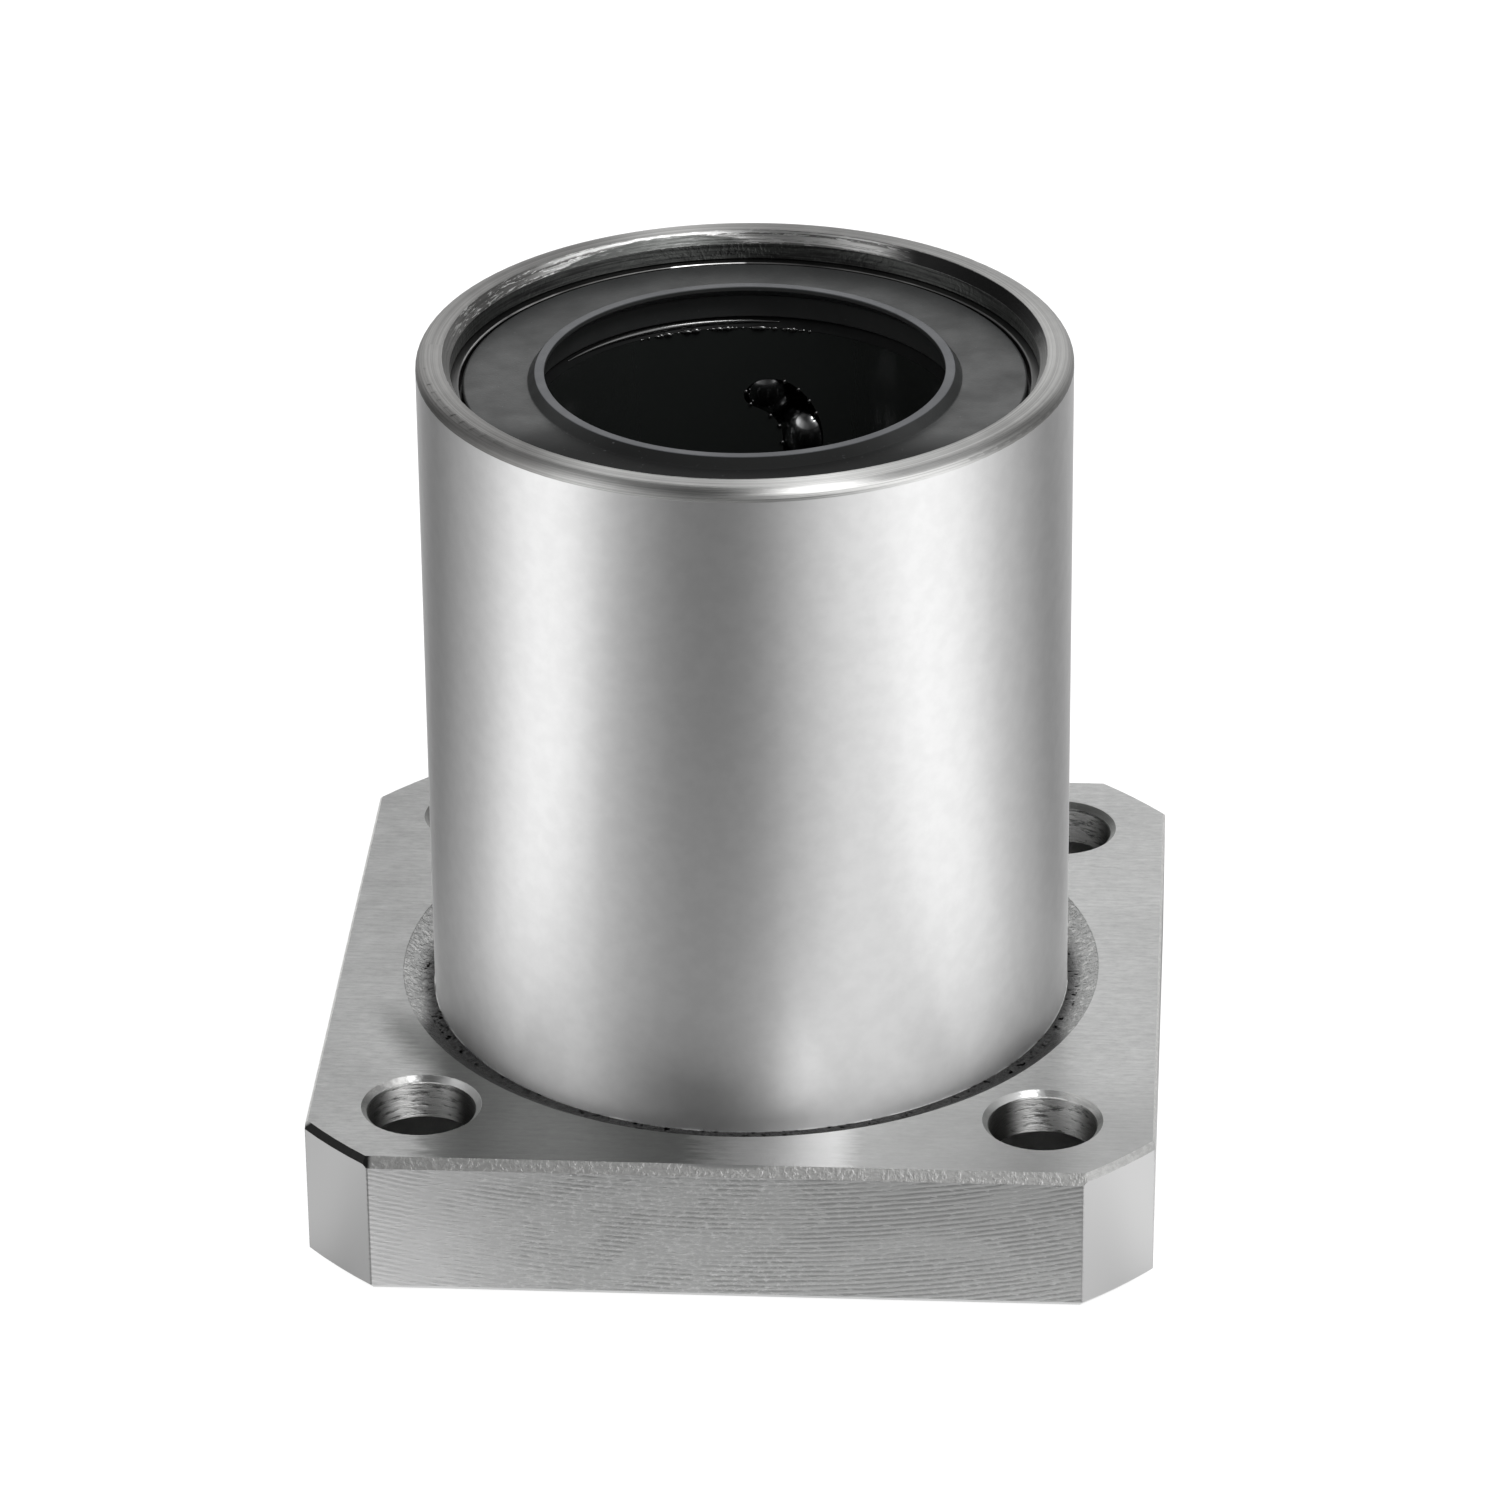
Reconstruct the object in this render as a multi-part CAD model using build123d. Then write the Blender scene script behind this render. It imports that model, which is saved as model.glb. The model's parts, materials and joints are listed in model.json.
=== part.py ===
from build123d import *
import math
import os

# Square-flanged linear ball bearing: a hardened sleeve with one square flange, a resin
# ball retainer with five closed ball circuits, a wiper seal and a retaining ring at each end.
# Millimetres. The origin is the centre of the flange's outer face, +Z runs up the bore.

# Shaft and balls
shaft_diameter = 20.0
ball_diameter = 3.175
ball_gap = 0.025            # play between neighbouring balls in a straight row
circuit_count = 5
first_circuit_angle = 88.8  # direction of the middle of the first circuit, seen from +Z
return_lift = 0.875         # the return row lies this much further out than the load row

# Sleeve
overall_length = 41.2
sleeve_wall = 1.65          # wall at the end counterbores
raceway_clearance = 0.025   # ball to raceway
turn_headroom = 0.3         # free height over the balls in the turns
return_groove_clearance = 0.16
end_round = 0.55
mouth_bevel_width = 0.35
mouth_bevel_depth = 0.6

# Flange
flange_thickness = 7.3
bolt_ring_offset = 5.5      # bolt circle outside the sleeve, and flange edges outside the bolts
flange_edge_bevel = 0.45    # front and back edges of the face beside the sleeve
flange_corner_bevel = 0.3   # its turned corners
flange_side_break = 0.12    # its side edges, only deburred
flange_base_bevel = 0.3     # all edges of the outer face
corner_relief_width = 1.6   # turned relief at the foot of the sleeve
corner_relief_depth = 0.65
corner_relief_floor = 0.6   # flat part of the relief, beside the sleeve
bolt_hole_diameter = 5.3
bolt_hole_bevel = 0.32
screw_head_diameter = 9.5
screw_head_depth = 5.1

# Retainer
retainer_shaft_clearance = 0.35
retainer_raceway_clearance = 0.15
retainer_collar_clearance = 0.1
retainer_least_end_wall = 2.2
retainer_mouth_bevel = 0.55
channel_clearance = 0.08    # ball to the walls of its channel

# Seals and retaining rings
seal_face_recess = 1.45     # seal face below the end of the sleeve
seal_lip_height = 0.5
seal_lip_width = 0.4
seal_lip_flare = 0.35
seal_lip_land = 0.25
seal_throat_clearance = 0.5
seal_skirt_thickness = 0.75
seal_edge_round = 0.15
seal_ring_gap = 0.15        # seal face to the inside of the retaining ring
seal_bore_clearance = 0.15
ring_thickness = 0.7
ring_width = 1.0
ring_end_gap = 3.0          # opening between the ends of the ring
ring_groove_depth = 0.6
ring_groove_clearance = 0.05

# Radii that follow from the sizes above
shaft_radius = shaft_diameter / 2
ball_radius = ball_diameter / 2
load_track_radius = shaft_radius + ball_radius
return_track_radius = load_track_radius + return_lift
raceway_radius = load_track_radius + ball_radius + raceway_clearance
mouth_radius = return_track_radius + ball_radius + turn_headroom
outer_radius = mouth_radius + sleeve_wall
ring_groove_radius = mouth_radius + ring_groove_depth
ring_outer_radius = ring_groove_radius - ring_groove_clearance
ring_inner_radius = ring_outer_radius - ring_width
retainer_inner_radius = shaft_radius + retainer_shaft_clearance
retainer_outer_radius = raceway_radius - retainer_raceway_clearance
retainer_collar_radius = mouth_radius - retainer_collar_clearance
channel_radius = ball_radius + channel_clearance

# Ball circuit: a flat racetrack in the plane that stands on the load row's radius
ball_pitch = ball_diameter + ball_gap
track_spacing = math.sqrt(return_track_radius**2 - load_track_radius**2)
turn_radius = track_spacing / 2
half_circuit_angle = math.degrees(math.atan2(turn_radius, load_track_radius))

# Heights that follow, measured from an end of the sleeve or from the flange's outer face
ring_groove_height = ring_thickness + ring_groove_clearance
retainer_recess = seal_face_recess + ring_thickness + seal_skirt_thickness
turn_depth = retainer_recess + retainer_least_end_wall + channel_radius + turn_radius
balls_per_row = math.floor((overall_length - 2 * turn_depth) / ball_pitch)
straight_length = balls_per_row * ball_pitch
middle_height = overall_length / 2
upper_turn_height = middle_height + straight_length / 2
lower_turn_height = middle_height - straight_length / 2
retainer_length = overall_length - 2 * retainer_recess
collar_height = (retainer_length - straight_length) / 2 - turn_radius - channel_radius

# Flange outline and bolts
bolt_circle_radius = outer_radius + bolt_ring_offset
bolt_spacing = bolt_circle_radius * math.sqrt(2)
flange_width = bolt_spacing + 2 * bolt_ring_offset
flange_corner_radius = bolt_circle_radius + bolt_ring_offset

OVERCUT = 1.0               # how far a cutting tool runs past the material


def turned(*points):
    """Solid of revolution about Z from (radius, height) points."""
    outline = Polyline(*[(radius, 0, height) for radius, height in points], close=True)
    return revolve(make_face(outline), Axis.Z, 360)


def upright_cylinder(radius, bottom, top):
    """Cylinder on the Z axis between two heights."""
    return Pos(0, 0, bottom) * extrude(Circle(radius), top - bottom)


def from_both_ends(solid):
    """A solid made for the upper end and its twin at the flange end."""
    return [solid, solid.mirror(Plane.XY.offset(middle_height))]


def bevelled_bar(top_bevel):
    """Bar along Y as wide and thick as the flange, with bevelled long edges."""
    half = flange_width / 2
    base = flange_base_bevel
    top = flange_thickness
    outline = Polyline(
        (base - half, 0),
        (half - base, 0),
        (half, base),
        (half, top - top_bevel),
        (half - top_bevel, top),
        (top_bevel - half, top),
        (-half, top - top_bevel),
        (-half, base),
        close=True,
    )
    return extrude(Plane.XZ * make_face(outline), half, both=True)


def flange_plate():
    """Square plate with turned corners, bevelled edges and the relief round the sleeve's foot."""
    front_to_back = bevelled_bar(flange_side_break)
    side_to_side = Rot(0, 0, 90) * bevelled_bar(flange_edge_bevel)
    disc = turned(
        (0, 0),
        (flange_corner_radius - flange_base_bevel, 0),
        (flange_corner_radius, flange_base_bevel),
        (flange_corner_radius, flange_thickness - flange_corner_bevel),
        (flange_corner_radius - flange_corner_bevel, flange_thickness),
        (0, flange_thickness),
    )
    plate = front_to_back & side_to_side & disc
    foot = flange_thickness - corner_relief_depth
    relief = turned(
        (outer_radius, foot),
        (outer_radius + corner_relief_floor, foot),
        (outer_radius + corner_relief_width, flange_thickness),
        (outer_radius + corner_relief_width, flange_thickness + OVERCUT),
        (0, flange_thickness + OVERCUT),
        (0, foot),
    )
    return plate - relief


def bolt_hole():
    """Cutter for one screw: clearance hole, its bevel on the sleeve side, head counterbore below."""
    radius = bolt_hole_diameter / 2
    hole = turned(
        (0, -OVERCUT),
        (screw_head_diameter / 2, -OVERCUT),
        (screw_head_diameter / 2, screw_head_depth),
        (radius, screw_head_depth),
        (radius, flange_thickness - bolt_hole_bevel),
        (radius + bolt_hole_bevel + OVERCUT, flange_thickness + OVERCUT),
        (0, flange_thickness + OVERCUT),
    )
    return hole


def end_counterbore():
    """Cutter for the upper mouth: bevel, seal seat, ring groove and the space over the turns."""
    top = overall_length
    groove_base = top - seal_face_recess - ring_thickness
    groove_top = groove_base + ring_groove_height
    return turned(
        (0, upper_turn_height),
        (mouth_radius, upper_turn_height),
        (mouth_radius, groove_base),
        (ring_groove_radius, groove_base),
        (ring_groove_radius, groove_top),
        (mouth_radius, groove_top),
        (mouth_radius, top - mouth_bevel_depth),
        (mouth_radius + mouth_bevel_width, top),
        (mouth_radius + mouth_bevel_width, top + OVERCUT),
        (0, top + OVERCUT),
    )


def circuit_angles():
    """Direction of the load row of each circuit, in degrees from +X."""
    first = first_circuit_angle - half_circuit_angle
    return [first + 360 / circuit_count * index for index in range(circuit_count)]


def circuit_plane(load_angle):
    """Plane of one circuit: origin on the load row at z 0, X away from the return row, Y up."""
    angle = math.radians(load_angle)
    outward = Vector(math.cos(angle), math.sin(angle), 0)
    along = Vector(math.sin(angle), -math.cos(angle), 0)
    return Plane(origin=outward * load_track_radius, x_dir=along, z_dir=-outward)


def outer_cylinder():
    """The hardened steel sleeve and flange, turned and ground from one piece."""
    sleeve = upright_cylinder(outer_radius, 0, overall_length)
    sleeve = fillet(sleeve.edges().group_by(Axis.Z)[-1], end_round)
    body = flange_plate() + sleeve
    body -= upright_cylinder(raceway_radius, -OVERCUT, overall_length + OVERCUT)
    for cutter in from_both_ends(end_counterbore()):
        body -= cutter
    groove = extrude(Circle(ball_radius + return_groove_clearance), straight_length)
    for load_angle in circuit_angles():
        plane = circuit_plane(load_angle)
        foot = plane.from_local_coords((-track_spacing, lower_turn_height, 0))
        body -= Pos(*foot) * groove
    half = bolt_spacing / 2
    for x, y in ((half, half), (-half, half), (-half, -half), (half, -half)):
        body -= Pos(x, y, 0) * bolt_hole()
    return body


def racetrack(half_width):
    """Rounded slot outline, set round the middle of a circuit."""
    slot = SlotCenterToCenter(straight_length, 2 * half_width, rotation=90)
    return Pos(-turn_radius, middle_height) * slot


def ball_channel():
    """One circuit's channel: round along the balls' inner side and open outwards."""
    outline = racetrack(turn_radius + channel_radius) - racetrack(turn_radius - channel_radius)
    pocket = extrude(outline, -(outer_radius - load_track_radius + ball_radius))
    section = Pos(-track_spacing, 0) * Circle(channel_radius)
    half_ring = revolve(Plane.XZ * section, Axis((-turn_radius, 0, 0), (0, 0, 1)), -180)
    row = Plane.XZ * extrude(Circle(channel_radius), -straight_length)
    upper = Pos(0, upper_turn_height, 0) * half_ring
    lower = Pos(0, lower_turn_height, 0) * half_ring.mirror(Plane.XZ)
    rows = [Pos(x, lower_turn_height, 0) * row for x in (0, -track_spacing)]
    return [pocket, upper, lower] + rows


def ball_retainer():
    """Moulded cage: an open slot along each load row, a blind channel along each return row."""
    base = retainer_recess
    top = overall_length - retainer_recess
    bevel = retainer_mouth_bevel
    cage = turned(
        (retainer_inner_radius + bevel, base),
        (retainer_collar_radius, base),
        (retainer_collar_radius, base + collar_height),
        (retainer_outer_radius, base + collar_height),
        (retainer_outer_radius, top - collar_height),
        (retainer_collar_radius, top - collar_height),
        (retainer_collar_radius, top),
        (retainer_inner_radius + bevel, top),
        (retainer_inner_radius, top - bevel),
        (retainer_inner_radius, base + bevel),
    )
    for load_angle in circuit_angles():
        for cutter in ball_channel():
            cage -= circuit_plane(load_angle) * cutter
    return cage


def end_seal():
    """Upper wiper seal: skirt under the ring, face inside it, and a raised lip on the shaft."""
    face = overall_length - seal_face_recess
    skirt_top = face - ring_thickness
    skirt_base = skirt_top - seal_skirt_thickness
    lip_top = face + seal_lip_height
    face_radius = ring_inner_radius - seal_ring_gap
    throat_radius = shaft_radius + seal_throat_clearance
    throat_top = lip_top - seal_lip_land - seal_throat_clearance
    return turned(
        (throat_radius, skirt_base),
        (mouth_radius - seal_bore_clearance, skirt_base),
        (mouth_radius - seal_bore_clearance, skirt_top),
        (face_radius, skirt_top),
        (face_radius, face - seal_edge_round),
        (face_radius - seal_edge_round, face),
        (shaft_radius + seal_lip_width + seal_lip_flare, face),
        (shaft_radius + seal_lip_width, lip_top),
        (shaft_radius, lip_top),
        (shaft_radius, lip_top - seal_lip_land),
        (throat_radius, throat_top),
    )


def retaining_ring():
    """Upper spring ring, open at the front, seated in the sleeve's groove over the seal's skirt."""
    base = overall_length - seal_face_recess - ring_thickness
    section = Circle(ring_outer_radius) - Circle(ring_inner_radius)
    opening = Pos(0, -ring_outer_radius) * Rectangle(ring_end_gap, 2 * ring_width + ring_end_gap)
    return Pos(0, 0, base) * extrude(section - opening, ring_thickness)


def balls(load_angle, places):
    """Group of separate balls at (across, height) places in a circuit's plane."""
    plane = circuit_plane(load_angle)
    centres = [plane.from_local_coords((across, height, 0)) for across, height in places]
    return Compound(children=[Pos(*centre) * Sphere(ball_radius) for centre in centres])


def circuit_groups(load_angle):
    """The four groups of one circuit, each of which keeps to one straight run or one turn."""
    steps = range(balls_per_row)
    load = [(0, upper_turn_height - ball_pitch * step) for step in steps]
    back = [(-track_spacing, lower_turn_height + ball_pitch * step) for step in steps]
    upper = [(-track_spacing, upper_turn_height), (-turn_radius, upper_turn_height + turn_radius)]
    lower = [(0, lower_turn_height), (-turn_radius, lower_turn_height - turn_radius)]
    return {
        "load_balls": balls(load_angle, load),
        "return_balls": balls(load_angle, back),
        "upper_turn_balls": balls(load_angle, upper),
        "lower_turn_balls": balls(load_angle, lower),
    }


def all_parts():
    """Every piece of the bearing, by name."""
    top_seal, bottom_seal = from_both_ends(end_seal())
    top_ring, bottom_ring = from_both_ends(retaining_ring())
    parts = {
        "flanged_outer_cylinder": outer_cylinder(),
        "ball_retainer": ball_retainer(),
        "top_seal": top_seal,
        "bottom_seal": bottom_seal,
        "top_retaining_ring": top_ring,
        "bottom_retaining_ring": bottom_ring,
    }
    for number, load_angle in enumerate(circuit_angles(), start=1):
        for name, group in circuit_groups(load_angle).items():
            parts[f"circuit_{number}_{name}"] = group
    return parts


os.makedirs("parts", exist_ok=True)
for part_name, part in all_parts().items():
    export_step(part, f"parts/{part_name}.step")
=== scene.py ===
"""Looks of a square-flanged linear ball bearing: ground steel sleeve, resin ball cage, rubber wipers."""
import json
import logging
import math
from dataclasses import dataclass
from enum import Enum
from typing import Optional, Sequence, Union

import bpy
import numpy as np
from mathutils import Matrix, Vector


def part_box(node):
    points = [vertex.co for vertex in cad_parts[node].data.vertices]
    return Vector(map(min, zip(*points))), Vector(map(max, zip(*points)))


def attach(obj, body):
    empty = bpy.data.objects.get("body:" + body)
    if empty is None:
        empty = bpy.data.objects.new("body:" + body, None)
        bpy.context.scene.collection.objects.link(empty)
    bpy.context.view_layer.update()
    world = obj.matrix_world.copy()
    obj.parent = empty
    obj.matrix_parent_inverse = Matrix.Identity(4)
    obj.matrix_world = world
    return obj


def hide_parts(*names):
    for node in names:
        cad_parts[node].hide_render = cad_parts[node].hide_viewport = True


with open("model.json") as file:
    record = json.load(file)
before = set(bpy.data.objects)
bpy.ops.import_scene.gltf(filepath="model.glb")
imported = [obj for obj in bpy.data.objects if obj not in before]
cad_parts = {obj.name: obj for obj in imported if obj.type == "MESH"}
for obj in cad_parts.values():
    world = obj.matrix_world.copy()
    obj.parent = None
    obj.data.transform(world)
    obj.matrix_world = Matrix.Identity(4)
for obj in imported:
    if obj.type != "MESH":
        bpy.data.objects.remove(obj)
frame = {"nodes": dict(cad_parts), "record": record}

MM = 0.001
ROOT = "outer_assembly"
CIRCUITS = 5
log = logging.getLogger("bearing")
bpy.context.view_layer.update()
PER_METRE = 1000.0
KEPT_INPUTS = {"ior": "IOR", "coat_ior": "Coat IOR", "gloss": "Specular IOR Level"}

Number = Union[float, "Field"]
Colour = tuple[float, float, float]
Layer = tuple["Field", Union["Field", Colour]]
Mesh = tuple[np.ndarray, list]
Shape = tuple[np.ndarray, np.ndarray, np.ndarray]


class Op(Enum):
    """Arithmetic that a shader's math node can do."""

    ADD = "ADD"
    SUBTRACT = "SUBTRACT"
    MULTIPLY = "MULTIPLY"
    DIVIDE = "DIVIDE"
    MAXIMUM = "MAXIMUM"
    ROOT = "SQRT"
    SINE = "SINE"
    ABSOLUTE = "ABSOLUTE"
    ARCTANGENT = "ARCTAN2"


class End(Enum):
    """The two ends of the sleeve, by the way each end faces."""

    TOP = 1
    BOTTOM = -1

    @property
    def word(self) -> str:
        """Lower-case word for names."""
        return self.name.lower()

    def facing(self, outline: np.ndarray, length: float) -> np.ndarray:
        """Section for this end: as drawn at the top, and turned over, with its faces still outwards, below.

        Args:
            outline: points (radius, height) of the section at the upper end.
            length: length of the sleeve.

        Returns:
            Points of the section at this end.
        """
        return outline if self is End.TOP else (outline * (1, -1) + (0, length))[::-1]


class Field:
    """One number at each point of a surface: a node socket that takes plain arithmetic."""

    def __init__(self, tree: bpy.types.NodeTree, socket: bpy.types.NodeSocket) -> None:
        """Keeps the tree and the socket.

        Args:
            tree: node tree that the socket belongs to.
            socket: output socket with the number.
        """
        self.tree = tree
        self.socket = socket

    def math(self, op: Op, *others: Number) -> "Field":
        """Adds a math node on this field.

        Args:
            op: what the node does.
            others: further inputs, numbers or fields.

        Returns:
            The node's result.
        """
        node = self.tree.nodes.new("ShaderNodeMath")
        node.operation = op.value
        for place, value in enumerate((self, *others)):
            feed(self.tree, node.inputs[place], value)
        return Field(self.tree, node.outputs[0])

    def __add__(self, other: Number) -> "Field":
        """Sum."""
        return self.math(Op.ADD, other)

    __radd__ = __add__

    def __sub__(self, other: Number) -> "Field":
        """Difference."""
        return self.math(Op.SUBTRACT, other)

    def __rsub__(self, other: Number) -> "Field":
        """Difference from a number."""
        return self * -1.0 + other

    def __mul__(self, other: Number) -> "Field":
        """Product."""
        return self.math(Op.MULTIPLY, other)

    __rmul__ = __mul__

    def __truediv__(self, other: Number) -> "Field":
        """Quotient."""
        return self.math(Op.DIVIDE, other)

    def size(self) -> "Field":
        """Absolute value."""
        return self.math(Op.ABSOLUTE)

    def root(self) -> "Field":
        """Square root."""
        return self.math(Op.ROOT)

    def sine(self) -> "Field":
        """Sine of an angle in radians."""
        return self.math(Op.SINE)

    def step(self, low: float, high: float) -> "Field":
        """Smooth rise from 0 at low to 1 at high, or a fall where low is the larger.

        Args:
            low: value at which the result is 0.
            high: value at which the result is 1.

        Returns:
            The eased share, held between 0 and 1.
        """
        node = self.tree.nodes.new("ShaderNodeMapRange")
        node.interpolation_type = "SMOOTHSTEP"
        feed(self.tree, node.inputs["Value"], self)
        flip = low > high
        node.inputs["From Min"].default_value = min(low, high)
        node.inputs["From Max"].default_value = max(low, high)
        node.inputs["To Min"].default_value = 1.0 if flip else 0.0
        node.inputs["To Max"].default_value = 0.0 if flip else 1.0
        return Field(self.tree, node.outputs["Result"])

    def within(self, low: float, high: float, soft: float) -> "Field":
        """Mask of a span: 1 between low and high, and 0 past soft outside them."""
        return self.step(low - soft, low) * self.step(high + soft, high)


def feed(tree: bpy.types.NodeTree, socket: bpy.types.NodeSocket, value: Union[Number, Colour]) -> None:
    """Links a field to an input, or sets the input to a constant.

    Args:
        tree: node tree of both.
        socket: input socket.
        value: field, number or colour.
    """
    if isinstance(value, Field):
        tree.links.new(value.socket, socket)
    elif isinstance(value, tuple) and len(socket.default_value) == 4:
        socket.default_value = (*value, 1.0)
    else:
        socket.default_value = value


def coordinates(tree: bpy.types.NodeTree, kind: str) -> list[Field]:
    """Three parts of one of the texture coordinates, such as Object or Normal."""
    source = tree.nodes.new("ShaderNodeTexCoord")
    split = tree.nodes.new("ShaderNodeSeparateXYZ")
    tree.links.new(source.outputs[kind], split.inputs[0])
    return [Field(tree, output) for output in split.outputs]


class Coat:
    """A procedural material being mixed, in millimetres on Object coordinates."""

    def __init__(self, name: str) -> None:
        """Starts the material with its shader and its coordinate fields.

        Args:
            name: name of the material.
        """
        self.material = bpy.data.materials.new(name)
        self.material.use_nodes = True
        self.tree = self.material.node_tree
        self.shader = self.tree.nodes["Principled BSDF"]
        self.x, self.y, self.z = (axis * PER_METRE for axis in coordinates(self.tree, "Object"))
        self.nx, self.ny, self.nz = coordinates(self.tree, "Normal")
        self.place = (self.x, self.y, self.z)
        self.r = (self.x * self.x + self.y * self.y).root()
        self.turn = self.y.math(Op.ARCTANGENT, self.x)

    def vector(self, x: Number, y: Number, z: Number) -> Field:
        """Joins three numbers into a vector."""
        node = self.tree.nodes.new("ShaderNodeCombineXYZ")
        for socket, value in zip(node.inputs, (x, y, z)):
            feed(self.tree, socket, value)
        return Field(self.tree, node.outputs[0])

    def noise(self, place: Sequence[Number], scale: float, detail: float = 2.0, rough: float = 0.5) -> Field:
        """Cloudy noise between 0 and 1.

        Args:
            place: three numbers that say where on the pattern a point lies.
            scale: features per unit of place.
            detail: octaves above the first.
            rough: strength of each octave against the one before.

        Returns:
            The noise.
        """
        node = self.tree.nodes.new("ShaderNodeTexNoise")
        feed(self.tree, node.inputs["Vector"], self.vector(*place))
        node.inputs["Scale"].default_value = scale
        node.inputs["Detail"].default_value = detail
        node.inputs["Roughness"].default_value = rough
        return Field(self.tree, node.outputs["Fac"])

    def mix(self, share: Number, first: Union[Field, Colour], second: Union[Field, Colour]) -> Field:
        """Colour between two colours.

        Args:
            share: 0 for the first, 1 for the second.
            first: colour or colour field.
            second: colour or colour field.

        Returns:
            The colour field.
        """
        node = self.tree.nodes.new("ShaderNodeMix")
        node.data_type = "RGBA"
        feed(self.tree, node.inputs["Factor"], share)
        feed(self.tree, node.inputs[6], first)
        feed(self.tree, node.inputs[7], second)
        return Field(self.tree, node.outputs[2])

    def blend(self, share: Number, first: Number, second: Number) -> Field:
        """Number between two numbers, by share."""
        node = self.tree.nodes.new("ShaderNodeMix")
        feed(self.tree, node.inputs["Factor"], share)
        feed(self.tree, node.inputs[2], first)
        feed(self.tree, node.inputs[3], second)
        return Field(self.tree, node.outputs[0])

    def relief(self, height: Field, normal: Optional[Field] = None) -> None:
        """Raises the surface by a height in millimetres, as a bump.

        Args:
            height: height field in millimetres.
            normal: direction that the plain surface faces, or None for the mesh's own.
        """
        node = self.tree.nodes.new("ShaderNodeBump")
        node.inputs["Strength"].default_value = 1.0
        node.inputs["Distance"].default_value = MM
        feed(self.tree, node.inputs["Height"], height)
        if normal is not None:
            feed(self.tree, node.inputs["Normal"], normal)
        self.tree.links.new(node.outputs["Normal"], self.shader.inputs["Normal"])

    def set(self, **values: Union[Number, Colour]) -> None:
        """Sets the shader's inputs: each underscore in a name stands for a space."""
        for name, value in values.items():
            feed(self.tree, self.shader.inputs[name.replace("_", " ").title()], value)

    def keep(self, **values: float) -> None:
        """Sets the inputs that have to stay constants, by their names in KEPT_INPUTS."""
        for name, value in values.items():
            self.shader.inputs[KEPT_INPUTS[name]].default_value = value


def add_piece(name: str, points: np.ndarray, faces: list, body: str, slot: str) -> bpy.types.Object:
    """Makes a smooth-shaded piece that rides on a body.

    Args:
        name: name of the piece.
        points: vertices in millimetres, one row each.
        faces: tuples of vertex numbers.
        body: body that carries the piece.
        slot: material slot of the record; not used.

    Returns:
        The new object, at the origin, with its place in its mesh.
    """
    mesh = bpy.data.meshes.new(name)
    mesh.from_pydata((points * MM).tolist(), [], faces)
    mesh.polygons.foreach_set("use_smooth", np.ones(len(mesh.polygons), dtype=bool))
    mesh.update()
    piece = bpy.data.objects.new(name, mesh)
    bpy.context.scene.collection.objects.link(piece)
    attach(piece, body)
    return piece


def rounded_outline(corners: Sequence[tuple[float, float, float]], steps: int = 6) -> np.ndarray:
    """Closed outline with rounded corners.

    Each corner is replaced by the arc that touches both of its sides, and a support point stands a
    little way along the side at each end of the arc, so that flats shade flat.

    Args:
        corners: (across, height, radius) of each corner, in order.
        steps: arc points in each corner.

    Returns:
        Outline points, one row each.
    """
    marks = np.array([corner[:2] for corner in corners])
    radii = np.array([corner[2] for corner in corners])
    back = np.roll(marks, 1, axis=0) - marks
    ahead = np.roll(marks, -1, axis=0) - marks
    back /= np.linalg.norm(back, axis=1)[:, None]
    ahead /= np.linalg.norm(ahead, axis=1)[:, None]
    half = np.arccos(np.clip((back * ahead).sum(axis=1), -1, 1)) / 2
    reach = radii / np.tan(half)
    middle = back + ahead
    middle /= np.linalg.norm(middle, axis=1)[:, None]
    centres = marks + middle * (radii / np.sin(half))[:, None]
    start = marks + back * reach[:, None] - centres
    end = marks + ahead * reach[:, None] - centres
    share = np.linspace(0, 1, steps)[None, :, None]
    sweep = (np.pi - 2 * half)[:, None, None]
    leaving = np.sin((1 - share) * sweep) * start[:, None]
    arriving = np.sin(share * sweep) * end[:, None]
    arcs = (leaving + arriving) / np.sin(sweep) + centres[:, None]
    support = reach[:, None] + 0.25 * radii[:, None]
    first = (marks + back * support)[:, None]
    last = (marks + ahead * support)[:, None]
    return np.concatenate([first, arcs, last], axis=1).reshape(-1, 2)


def ring_quads(rings: int, size: int, joined: bool = False) -> np.ndarray:
    """Quads between neighbouring rings of points.

    Args:
        rings: number of rings.
        size: points in a ring.
        joined: whether the last ring meets the first.

    Returns:
        Four vertex numbers in each row.
    """
    row = np.arange(rings if joined else rings - 1)[:, None] * size
    ahead = (row + size) % (rings * size)
    place = np.arange(size)[None, :]
    beside = (place + 1) % size
    return np.stack([row + place, ahead + place, ahead + beside, row + beside], axis=-1).reshape(-1, 4)


def closed_by_tips(rings: np.ndarray, tips: Sequence) -> Shape:
    """Closed surface through rings of points, with one vertex past each end.

    Args:
        rings: points in millimetres, by ring and by place in the ring.
        tips: the vertex before the first ring and the vertex after the last.

    Returns:
        Vertices, quads between the rings and triangles at the tips.
    """
    count, size = rings.shape[:2]
    place = np.arange(size)
    beside = (place + 1) % size
    last = (count - 1) * size
    first_fan = np.stack([np.full(size, count * size), place, beside], axis=-1)
    last_fan = np.stack([np.full(size, count * size + 1), last + beside, last + place], axis=-1)
    points = np.concatenate([rings.reshape(-1, 3), tips])
    return points, ring_quads(count, size), np.concatenate([first_fan, last_fan])


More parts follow.
